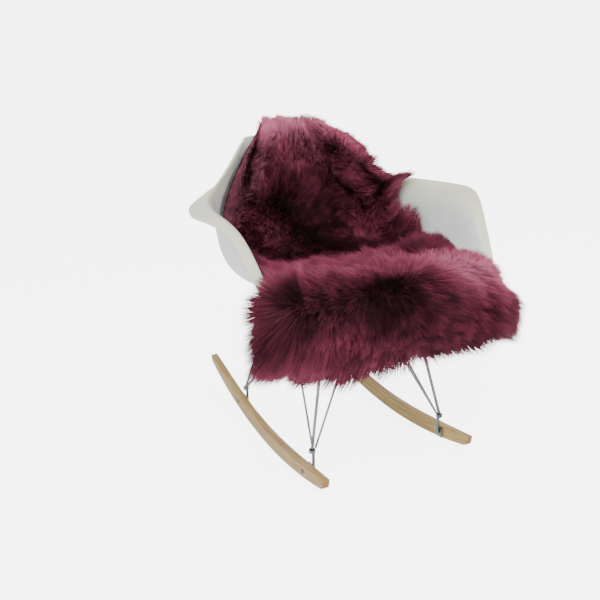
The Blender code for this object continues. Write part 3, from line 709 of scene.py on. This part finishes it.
def evaluated_mesh(source):
    """The mesh that an object's modifiers make; the object itself is removed."""
    graph = bpy.context.evaluated_depsgraph_get()
    graph.update()
    mesh = bpy.data.meshes.new_from_object(source.evaluated_get(graph), depsgraph=graph)
    bpy.data.objects.remove(source, do_unlink=True)
    return mesh


def shade(mesh, angle=40.0):
    """Smooth shading with sharp edges kept."""
    mesh.shade_smooth()
    mesh.set_sharp_from_angle(angle=math.radians(angle))


def grid_mesh(name, form, rows=None):
    """A mesh of the skin, whole or between two grid rows, with the wool's facts on its points."""
    low, high = rows or (0, SKIN_ALONG)
    columns = SKIN_ACROSS + 1
    cut = slice(low, high + 1)
    count = high - low + 1
    points = form["under"][cut] + form["up"][cut] * SKIN_THICK
    faces = [
        (i * columns + j, i * columns + j + 1, (i + 1) * columns + j + 1, (i + 1) * columns + j)
        for i in range(count - 1)
        for j in range(columns - 1)
    ]
    mesh = bpy.data.meshes.new(name)
    mesh.from_pydata(points.reshape(-1, 3).tolist(), [], faces)
    for key in ("up", "lean"):
        layer = mesh.attributes.new(key, "FLOAT_VECTOR", "POINT")
        layer.data.foreach_set("vector", form[key][cut].reshape(-1).astype(np.float32))
    for key in ("depth", "tone", "rim", "gather", "free"):
        layer = mesh.attributes.new(key, "FLOAT", "POINT")
        layer.data.foreach_set("value", form[key][cut].reshape(-1).astype(np.float32))
    return mesh


def skin_piece(form):
    """The skin itself: one thin sheet."""
    made = link("skin", grid_mesh("skin", form), SKIN)
    thick = made.modifiers.new("skin thickness", "SOLIDIFY")
    thick.thickness = SKIN_THICK
    thick.offset = -1.0
    made.data.shade_smooth()
    return made


# Wool by Geometry Nodes


class Tree(Nodes):
    """A Geometry Nodes tree."""

    def __init__(self, name):
        super().__init__(bpy.data.node_groups.new(name, "GeometryNodeTree"))
        self.face = self.tree.interface
        self.face.new_socket("Geometry", in_out="INPUT", socket_type="NodeSocketGeometry")
        self.face.new_socket("Geometry", in_out="OUTPUT", socket_type="NodeSocketGeometry")
        self.enter = self.tree.nodes.new("NodeGroupInput")
        self.leave = self.tree.nodes.new("NodeGroupOutput")

    def named_input(self, name, kind, value):
        socket = self.face.new_socket(name, in_out="INPUT", socket_type=kind)
        socket.default_value = value
        return socket.identifier

    def vector(self, operation, *values):
        made = self.tree.nodes.new("ShaderNodeVectorMath")
        made.operation = operation
        for socket, value in zip(made.inputs, values, strict=False):
            self.put(socket, value)
        return made.outputs["Value" if operation in ("LENGTH", "DOT_PRODUCT") else "Vector"]

    def scaled(self, value, factor):
        made = self.node("ShaderNodeVectorMath", operation="SCALE")
        self.put(made.inputs["Vector"], value)
        self.put(made.inputs["Scale"], factor)
        return made.outputs["Vector"]

    def read(self, name, kind="FLOAT"):
        made = self.node("GeometryNodeInputNamedAttribute", {"Name": name}, data_type=kind)
        return made.outputs["Attribute"]

    def store(self, geometry, name, value, kind="FLOAT"):
        made = self.node("GeometryNodeStoreNamedAttribute", data_type=kind, domain="POINT")
        for key, given in (("Geometry", geometry), ("Name", name), ("Value", value)):
            self.put(made.inputs[key], given)
        return made.outputs["Geometry"]


def strand_blade():
    """One flat tapering strand: x is across it, from -1 to 1, and z is the share along it."""
    points, faces = [], []
    for step, width in zip(STRAND_STEPS, STRAND_TAPER, strict=False):
        points += [(-width, 0.0, step), (width, 0.0, step)]
    points.append((0.0, 0.0, STRAND_STEPS[-1]))
    for k in range(len(STRAND_TAPER) - 1):
        faces.append((2 * k, 2 * k + 1, 2 * k + 3, 2 * k + 2))
    last = 2 * (len(STRAND_TAPER) - 1)
    faces.append((last, last + 1, last + 2))
    mesh = bpy.data.meshes.new("strand")
    mesh.from_pydata(points, [], faces)
    return link("strand", mesh)


# A strand's curve: how far it rises off the skin and reaches along its lean, by the share along it
# and by that share squared. Then its length: the least, and what chance adds.
STRAND_RISE = (1.10, -0.28)
STRAND_REACH = (0.22, 0.40)
STRAND_LENGTH = (1.02, 0.38)
# At the rim strands lie flatter and looser, and where no shell is below they wrap round the edge.
RIM_FLATTER = 0.55
RIM_LOOSER = 0.35
WRAP_TURN = 1.05
# Noise that ruffles the wool in swirls and each strand by itself.
SWIRL_SCALE = 24.0
SWIRL_STRENGTH = 1.5
FRIZZ_SCALE = 70.0
FRIZZ_STEP = (0.13, 0.07, 0.11)
LOCK_WANDER = 0.012
LOCK_PULL = (0.55, 0.60)
# Shading direction: along the strand's path, with some of the skin's own.
FACING_PATH = 18.0
FACING_SKIN = 0.6
# Any direction that no part of the skin faces, to set a strand's width against.
ASIDE = (0.31, 0.52, 0.79)
HALF = (0.5, 0.5, 0.5)


def wool_tree(blade):
    """Wool on a skin: strands scattered on it, then bent, gathered into locks and ruffled."""
    t = Tree("wool")
    keys = {
        "Density": t.named_input("Density", "NodeSocketFloat", 100.0),
        "Rim growth": t.named_input("Rim growth", "NodeSocketFloat", 1.3),
        "Seed": t.named_input("Seed", "NodeSocketInt", 1),
        "Width": t.named_input("Width", "NodeSocketFloat", STRAND_WIDTH),
        "Lock size": t.named_input("Lock size", "NodeSocketFloat", 0.013),
        "Gather": t.named_input("Gather", "NodeSocketFloat", 1.0),
        "Ruffle": t.named_input("Ruffle", "NodeSocketFloat", 0.42),
        "Sag": t.named_input("Sag", "NodeSocketFloat", 0.20),
    }
    asked = t.enter.outputs
    edge = t.maths("SUBTRACT", 1.0, t.read("rim"))
    dense = t.maths("ADD", 1.0, t.maths("MULTIPLY", edge, asked["Rim growth"]))
    dense = t.maths("MULTIPLY", asked["Density"], dense)
    scatter = t.node(
        "GeometryNodeDistributePointsOnFaces",
        {"Mesh": asked["Geometry"], "Density": dense, "Seed": asked["Seed"]},
        distribute_method="RANDOM",
    )
    points = scatter.outputs["Points"]
    root = t.node("GeometryNodeInputPosition").outputs[0]
    points = t.store(points, "root", root, "FLOAT_VECTOR")
    for seed, name in ((3, "dice"), (5, "turn")):
        chance = t.node("FunctionNodeRandomValue", data_type="FLOAT")
        chance.inputs["Seed"].default_value = seed
        value = next(o for o in chance.outputs if o.enabled and o.type == "VALUE")
        points = t.store(points, name, value)
    shape = t.node("GeometryNodeObjectInfo", {"Object": blade})
    strands = t.node(
        "GeometryNodeInstanceOnPoints", {"Points": points, "Instance": shape.outputs["Geometry"]}
    )
    made = t.node("GeometryNodeRealizeInstances", {"Geometry": strands.outputs["Instances"]})
    geometry = made.outputs["Geometry"]

    here = t.node("GeometryNodeInputPosition").outputs[0]
    root = t.read("root", "FLOAT_VECTOR")
    up, lean = t.read("up", "FLOAT_VECTOR"), t.read("lean", "FLOAT_VECTOR")
    depth, dice, turn = t.read("depth"), t.read("dice"), t.read("turn")
    rim, gather, free = t.read("rim"), t.read("gather"), t.read("free")
    split = t.node("ShaderNodeSeparateXYZ", {"Vector": t.vector("SUBTRACT", here, root)})
    across, along = split.outputs["X"], split.outputs["Z"]
    geometry = t.store(geometry, "across", across)
    geometry = t.store(geometry, "along", along)
    across, along = t.read("across"), t.read("along")
    square = t.maths("POWER", along, 2.0)

    swirl = t.node("ShaderNodeTexNoise", {"Vector": root, "Scale": SWIRL_SCALE, "Detail": 2.0})
    swirl = t.vector("SUBTRACT", swirl.outputs["Color"], HALF)
    offset = t.vector("ADD", root, t.scaled(FRIZZ_STEP, dice))
    frizz = t.node("ShaderNodeTexNoise", {"Vector": offset, "Scale": FRIZZ_SCALE, "Detail": 1.0})
    frizz = t.vector("SUBTRACT", frizz.outputs["Color"], HALF)

    length = t.maths("MULTIPLY", depth, t.line(dice, STRAND_LENGTH[1], STRAND_LENGTH[0]))
    rise, reach = (
        t.maths("ADD", t.maths("MULTIPLY", along, first), t.maths("MULTIPLY", square, second))
        for first, second in (STRAND_RISE, STRAND_REACH)
    )
    edge = t.maths("POWER", t.maths("SUBTRACT", 1.0, rim), 1.5)
    flat = t.line(edge, -RIM_FLATTER, 1.0)
    around = t.line(turn, 2.0 * WRAP_TURN, -WRAP_TURN)
    wrap = t.maths("MULTIPLY", edge, free)
    flat = t.maths("ADD", flat, t.maths("MULTIPLY", wrap, t.maths("SUBTRACT", around, flat)))
    rise = t.maths("MULTIPLY", rise, flat)
    loose = t.line(rim, -RIM_LOOSER, 1.0 + RIM_LOOSER)
    path = t.vector("ADD", t.scaled(up, rise), t.scaled(lean, t.maths("MULTIPLY", reach, loose)))
    ruffle = t.maths("MULTIPLY", asked["Ruffle"], along)
    path = t.vector("ADD", path, t.scaled(swirl, t.maths("MULTIPLY", ruffle, SWIRL_STRENGTH)))
    path = t.vector("ADD", path, t.scaled(frizz, t.maths("MULTIPLY", asked["Ruffle"], square)))
    fall = t.maths("MULTIPLY", t.maths("MULTIPLY", asked["Sag"], square), -1.0)
    fall = t.node("ShaderNodeCombineXYZ", {"Z": fall}).outputs[0]
    path = t.scaled(t.vector("ADD", path, fall), length)

    wandered = t.vector("ADD", root, t.scaled(swirl, LOCK_WANDER))
    cells = t.node("ShaderNodeTexVoronoi", {"Vector": wandered})
    t.put(cells.inputs["Scale"], t.maths("DIVIDE", 1.0, asked["Lock size"]))
    lock = t.node("ShaderNodeSeparateXYZ", {"Vector": cells.outputs["Color"]}).outputs["X"]
    geometry = t.store(geometry, "lock", lock)
    middle = t.vector("SUBTRACT", cells.outputs["Position"], root)
    middle = t.vector("SUBTRACT", middle, t.scaled(up, t.vector("DOT_PRODUCT", middle, up)))
    pull = t.maths("MULTIPLY", t.maths("POWER", along, 1.5), asked["Gather"])
    pull = t.maths("MULTIPLY", t.maths("MULTIPLY", pull, gather), rim)
    pull = t.maths("MULTIPLY", pull, t.line(turn, LOCK_PULL[1], LOCK_PULL[0]))
    path = t.vector("ADD", path, t.scaled(middle, pull))

    facing = t.vector("ADD", t.scaled(path, FACING_PATH), t.scaled(up, FACING_SKIN))
    facing = t.vector("NORMALIZE", facing)
    geometry = t.store(geometry, "facing", facing, "FLOAT_VECTOR")
    first = t.vector("NORMALIZE", t.vector("CROSS_PRODUCT", up, ASIDE))
    second = t.vector("NORMALIZE", t.vector("CROSS_PRODUCT", up, first))
    angle = t.maths("MULTIPLY", turn, math.pi)
    side = t.vector(
        "ADD",
        t.scaled(first, t.maths("COSINE", angle)),
        t.scaled(second, t.maths("SINE", angle)),
    )
    half = t.maths("MULTIPLY", across, t.maths("MULTIPLY", asked["Width"], 0.5))
    place = t.vector("ADD", t.vector("ADD", root, path), t.scaled(side, half))
    reach = t.vector("SUBTRACT", place, root)
    wall = t.node("GeometryNodeObjectInfo", {"Object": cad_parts["seat_shell"]})
    hit = t.node(
        "GeometryNodeRaycast",
        {
            "Target Geometry": wall.outputs["Geometry"],
            "Source Position": root,
            "Ray Direction": reach,
            "Ray Length": t.maths("ADD", t.vector("LENGTH", reach), STRAND_CLEARANCE),
        },
    )
    held = t.maths("SUBTRACT", hit.outputs["Hit Distance"], STRAND_CLEARANCE)
    held = t.maths("MAXIMUM", held, 0.0)
    short = t.vector("ADD", root, t.scaled(t.vector("NORMALIZE", reach), held))
    pick = t.node("GeometryNodeSwitch", {"Switch": hit.outputs["Is Hit"]}, input_type="VECTOR")
    t.put(pick.inputs["False"], place)
    t.put(pick.inputs["True"], short)
    place = pick.outputs[0]
    moved = t.node("GeometryNodeSetPosition", {"Geometry": geometry, "Position": place})
    final = t.node("GeometryNodeSetMaterial", {"Geometry": moved.outputs[0], "Material": WOOL})
    t.tree.links.new(final.outputs[0], t.leave.inputs[0])
    return t.tree, keys


# Facts that only growing needs are dropped afterwards.
SPARE_FACTS = ("root", "up", "lean", "depth", "turn", "across", "rim", "gather", "free")


def wool_pieces(form):
    """The wool, one piece for each band of the hide."""
    blade = strand_blade()
    tree, keys = wool_tree(blade)
    made = []
    rows = form["share"][:, SKIN_ACROSS // 2]
    for seed, (name, low, high, strands) in enumerate(WOOL_BANDS, start=11):
        ends = [int(np.argmin(np.abs(rows - share))) for share in (low, high)]
        carrier = link(name + "_carrier", grid_mesh(name + "_carrier", form, ends))
        area = sum(face.area for face in carrier.data.polygons)
        growth = carrier.modifiers.new("wool", "NODES")
        growth.node_group = tree
        growth[keys["Density"]] = strands / area / 1.0
        growth[keys["Seed"]] = seed
        growth[keys["Width"]] = STRAND_WIDTH * 1.0
        mesh = evaluated_mesh(carrier)
        mesh.name = name
        for key in [a.name for a in mesh.attributes if a.name in SPARE_FACTS]:
            mesh.attributes.remove(mesh.attributes[key])
        mesh.shade_smooth()
        made.append(link(name, mesh))
    bpy.data.objects.remove(blade, do_unlink=True)
    return made


# Shell

SHELL_ROWS = (
    # mid_y, mid_z, edge_y, wall_x, crest_x, crest_z, edge_x, edge_z
    (-0.303, 0.392, -0.246, 0.236, 0.246, 0.424, 0.256, 0.428),
    (-0.283, 0.414, -0.204, 0.242, 0.252, 0.478, 0.268, 0.484),
    (-0.220, 0.409, -0.150, 0.240, 0.258, 0.545, 0.288, 0.549),
    (-0.105, 0.384, -0.068, 0.240, 0.262, 0.562, 0.330, 0.550),
    (0.045, 0.362, 0.035, 0.234, 0.252, 0.560, 0.300, 0.550),
    (0.180, 0.382, 0.110, 0.214, 0.230, 0.558, 0.244, 0.554),
    (0.243, 0.470, 0.156, 0.182, 0.196, 0.566, 0.204, 0.566),
    (0.262, 0.570, 0.182, 0.142, 0.150, 0.606, 0.157, 0.610),
    (0.272, 0.661, 0.212, 0.100, 0.108, 0.654, 0.114, 0.658),
)
SHELL_COLUMNS = ((0.00, 0.00, 0.00), (0.52, 0.06, 0.00), (0.95, 0.28, 0.09), (1.02, 0.64, 0.56))
CREST_SHARE = 0.93
SHELL_THICK = 0.005
SHELL_LEVEL = 4


def shell_piece():
    """The moulded shell: a mirrored cage, rounded, given its wall and a softened rim."""
    rows = []
    for mid_y, mid_z, edge_y, wall_x, crest_x, crest_z, edge_x, edge_z in SHELL_ROWS:
        row = [
            (wall_x * x, mid_y + (edge_y - mid_y) * y, mid_z + (crest_z - mid_z) * z)
            for x, y, z in SHELL_COLUMNS
        ]
        row.append((crest_x, mid_y + (edge_y - mid_y) * CREST_SHARE, crest_z))
        row.append((edge_x, edge_y, edge_z))
        rows.append(row)
    across, along = len(rows[0]) - 1, len(rows) - 1
    bm = bmesh.new()
    bmesh.ops.create_grid(bm, x_segments=across, y_segments=along, size=1.0)
    rim = bm.verts.layers.float.new("rim")
    for vert in bm.verts:
        column = round((vert.co.x + 1.0) / 2.0 * across)
        row = round((vert.co.y + 1.0) / 2.0 * along)
        vert.co = rows[row][column]
        vert[rim] = float(column >= across - 1)
    bmesh.ops.recalc_face_normals(bm, faces=bm.faces)
    mesh = bpy.data.meshes.new("shell")
    bm.to_mesh(mesh)
    bm.free()
    cage = link("shell_cage", mesh)
    mirror = cage.modifiers.new("other half", "MIRROR")
    mirror.use_clip = True
    mirror.merge_threshold = 0.0001
    round_off = cage.modifiers.new("round form", "SUBSURF")
    round_off.levels = round_off.render_levels = SHELL_LEVEL
    smooth = evaluated_mesh(cage)
    made = link("shell", smooth, SHELL_PLASTIC)
    wall = made.modifiers.new("wall", "SOLIDIFY")
    wall.thickness = SHELL_THICK
    wall.offset = -1.0
    wall.use_rim = True
    soften = made.modifiers.new("softened rim", "BEVEL")
    soften.width = SHELL_THICK * 0.42
    soften.segments = 3
    soften.limit_method = "ANGLE"
    soften.angle_limit = math.radians(50.0)
    smooth.shade_smooth()
    return made


# Rockers

ROCKER_LENGTH = 0.68
ROCKER_FRONT_Y = -0.317
ROCKER_RADIUS = 1.107
ROCKER_CONTACT_Y = 0.037
ROCKER_FLAT = 0.060
ROCKER_THICK = 0.018
ROCKER_MID_X = 0.170
ROCKER_HEIGHT_MID = 0.034
ROCKER_HEIGHT_FRONT = 0.020
ROCKER_HEIGHT_REAR = 0.017
ROCKER_STEPS = 72
ROCKER_NOSE = 0.004
ROCKER_ROUNDING = 0.0026


def rocker_low(y):
    """Height of the rocker's lower edge above the floor."""
    half_flat = ROCKER_FLAT / 2
    away = max(abs(y - ROCKER_CONTACT_Y), half_flat)
    arc = ROCKER_RADIUS - math.sqrt(ROCKER_RADIUS**2 - away**2)
    return arc - (ROCKER_RADIUS - math.sqrt(ROCKER_RADIUS**2 - half_flat**2))


def rocker_height(y):
    """Depth of the plank at y: fullest in the middle, slimmer at both ends."""
    share = (y - ROCKER_FRONT_Y) / ROCKER_LENGTH
    end = ROCKER_HEIGHT_FRONT if share < 0.5 else ROCKER_HEIGHT_REAR
    return end + (ROCKER_HEIGHT_MID - end) * (1.0 - abs(2.0 * share - 1.0) ** 4)


def rocker_piece(name, side):
    """One rocker: stations along the arc, rounded arrises, end grain on both ends."""
    bm = bmesh.new()
    lie = bm.verts.layers.float_vector.new("grain_lie")
    ys = np.linspace(ROCKER_FRONT_Y, ROCKER_FRONT_Y + ROCKER_LENGTH, ROCKER_STEPS + 1)
    rings = []
    for k, y in enumerate(ys):
        low, high = rocker_low(y), rocker_low(y) + rocker_height(y)
        nose = ROCKER_NOSE * ((k == 0) - (k == ROCKER_STEPS))
        ring = []
        for x, z, push in ((-1, low, nose), (1, low, nose), (1, high, 0.0), (-1, high, 0.0)):
            vert = bm.verts.new((side * ROCKER_MID_X + x * ROCKER_THICK / 2, y + push, z))
            ring.append(vert)
        rings.append(ring)
    for near, far in zip(rings, rings[1:], strict=False):
        for k in range(4):
            bm.faces.new((near[k], near[(k + 1) % 4], far[(k + 1) % 4], far[k]))
    ends = [bm.faces.new(rings[0]), bm.faces.new(rings[-1])]
    bmesh.ops.recalc_face_normals(bm, faces=bm.faces)
    for face in ends:
        face.material_index = 1
    edges = [e for e in bm.edges if len(e.link_faces) == 2 and e.calc_face_angle() > 1.0]
    bmesh.ops.bevel(
        bm, geom=edges, offset=ROCKER_ROUNDING, segments=3, affect="EDGES", profile=0.6, material=0
    )
    for vert in bm.verts:
        x, y, z = vert.co
        vert[lie] = (y, z - rocker_low(y), x)
    mesh = bpy.data.meshes.new(name)
    bm.to_mesh(mesh)
    bm.free()
    shade(mesh)
    return link(name, mesh, MAPLE, MAPLE_END)


# Assembly

SHELL_TREE = node_tree("seat_shell")
FORM = hide_form(SHELL_TREE)
skin = skin_piece(FORM)
wool = wool_pieces(FORM)
shell = shell_piece()
rockers = [rocker_piece("rocker_right_dressed", -1), rocker_piece("rocker_left_dressed", 1)]

for name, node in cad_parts.items():
    finish = RUBBER if name.startswith("rubber") else STEEL
    if name.startswith(("sheepskin", "locks", "seat_shell", "rocker")):
        continue
    for material_slot in node.material_slots:
        material_slot.material = finish

LOCK_NODES = [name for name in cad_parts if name.startswith("locks_")]
for piece in (skin, *wool, shell, *rockers):
    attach(piece, "root")
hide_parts("sheepskin")
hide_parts(*[n for n in LOCK_NODES if n.endswith(("hem", "front"))])
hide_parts(*[n for n in LOCK_NODES if n.endswith("seat")])
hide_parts(*[n for n in LOCK_NODES if n.endswith("back")])
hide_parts("locks_head")
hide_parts("seat_shell")
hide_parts("rocker_right")
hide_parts("rocker_left")

# Floor, light and camera


# Radius of the flat ground, radius of the bend round it, height of the wall above, and its steps.
FLOOR_FLAT = 6.0
FLOOR_BEND = 3.0
FLOOR_WALL = 4.0
FLOOR_SIDES = 96
BEND_STEPS = 12
# How brightly the floor glows on everything, and how much more it glows when seen.
FLOOR_GLOW = 0.32
FLOOR_SEEN = 4.5
FLOOR_COLOUR = (0.92, 0.92, 0.92, 1.0)
WHITE = (1.0, 1.0, 1.0, 1.0)


def backdrop():
    """A pale floor that curves up all round, so that every side has the same ground behind it."""
    outline = [(0.5 * FLOOR_FLAT, 0.0)]
    for k in range(BEND_STEPS + 1):
        angle = k / BEND_STEPS * math.pi / 2
        radius = FLOOR_FLAT + FLOOR_BEND * math.sin(angle)
        outline.append((radius, FLOOR_BEND * (1.0 - math.cos(angle))))
    outline.append((FLOOR_FLAT + FLOOR_BEND, FLOOR_BEND + FLOOR_WALL))
    bm = bmesh.new()
    rings = []
    for radius, height in outline:
        turns = [2 * math.pi * k / FLOOR_SIDES for k in range(FLOOR_SIDES)]
        rings.append([bm.verts.new((radius * math.cos(a), radius * math.sin(a), height)) for a in turns])
    bm.faces.new(rings[0])
    for near, far in zip(rings, rings[1:], strict=False):
        for k in range(FLOOR_SIDES):
            after = (k + 1) % FLOOR_SIDES
            bm.faces.new((near[k], far[k], far[after], near[after]))
    bmesh.ops.recalc_face_normals(bm, faces=bm.faces)
    bmesh.ops.reverse_faces(bm, faces=bm.faces)
    mesh = bpy.data.meshes.new("floor")
    bm.to_mesh(mesh)
    bm.free()
    mesh.shade_smooth()
    m = Surface("floor")
    seen = m.node("ShaderNodeLightPath").outputs["Is Camera Ray"]
    glow = m.line(seen, FLOOR_SEEN, FLOOR_GLOW)
    m.finish({"Base Color": FLOOR_COLOUR, "Roughness": 0.9, "Emission Strength": glow})
    m.finish({"Emission Color": WHITE})
    return link("floor", mesh, m.made)


def area_light(name, place, target, size, power):
    """A soft square light aimed at a point."""
    data = bpy.data.lights.new(name, "AREA")
    data.shape = "SQUARE"
    data.size = size
    data.energy = power
    made = link(name, data)
    made.location = place
    aim = Vector(target) - Vector(place)
    made.rotation_euler = aim.to_track_quat("-Z", "Y").to_euler()


def photo_camera():
    """The photograph's camera."""
    yaw, pitch, roll = CAMERA_YAW, CAMERA_PITCH, CAMERA_ROLL
    ahead = Vector((-math.sin(yaw) * math.cos(pitch), math.cos(yaw) * math.cos(pitch), math.sin(pitch)))
    level = Vector((math.cos(yaw), math.sin(yaw), 0.0))
    above = level.cross(ahead)
    right = level * math.cos(roll) + above * math.sin(roll)
    up = above * math.cos(roll) - level * math.sin(roll)
    data = bpy.data.cameras.new("camera")
    data.lens = CAMERA_LENS
    data.sensor_width = SENSOR
    data.shift_x, data.shift_y = CAMERA_SHIFT
    made = link("camera", data)
    turn = Matrix((right, up, -ahead)).transposed().to_4x4()
    made.matrix_world = Matrix.Translation(CAMERA_PLACE) @ turn
    bpy.context.scene.camera = made


backdrop()
area_light("overhead", (-1.3, -1.9, 2.9), (0.0, 0.0, 0.45), 2.2, 127.0)
area_light("front_left", (-1.6, -2.8, 1.2), (0.0, 0.0, 0.45), 2.0, 9.0)
area_light("right_fill", (2.4, -1.2, 1.6), (0.0, 0.0, 0.4), 1.8, 30.0)
world = bpy.data.worlds.new("studio")
world.use_nodes = True
sky = world.node_tree.nodes["Background"]
sky.inputs["Color"].default_value = WHITE
sky.inputs["Strength"].default_value = 0.8
bpy.context.scene.world = world
photo_camera()
